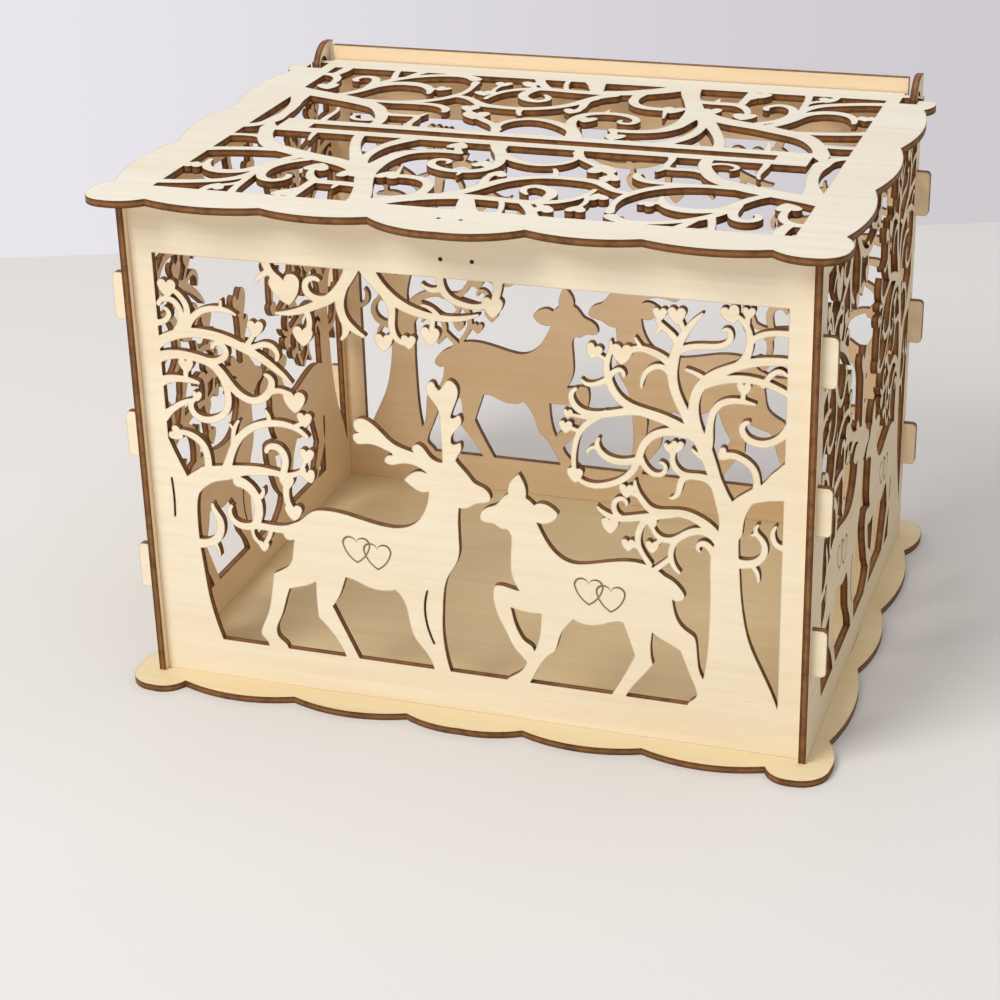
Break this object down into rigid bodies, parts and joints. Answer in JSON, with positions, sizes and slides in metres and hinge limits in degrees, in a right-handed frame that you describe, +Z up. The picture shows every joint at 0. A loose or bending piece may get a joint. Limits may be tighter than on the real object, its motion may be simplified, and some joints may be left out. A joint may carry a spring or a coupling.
{
  "type": "wedding card box",
  "caption": "Slotted plywood card box with deer and tree fretwork walls and a scroll-cut hinged lid with a card slot",
  "frame": {"origin": "centre of the underside of the base plate", "axes": "+X to the right seen from the front, -Y to the front, +Z up"},
  "size_m": [0.3006, 0.2513, 0.2239],
  "materials": {
    "ply": "bare birch plywood with scorched cut edges"
  },
  "bodies": {
    "case": {"base_plate": "ply", "front_panel": "ply", "back_panel": "ply", "left_panel": "ply", "right_panel": "ply"},
    "lid": {"lid": "ply"}
  },
  "joints": [
    {"name": "lid_hinge", "type": "hinge", "parent": "case", "child": "lid", "pos_m": [0, 0.098, 0.2145], "axis": [-1, 0, 0], "range_deg": [0, 116.5]}
  ]
}
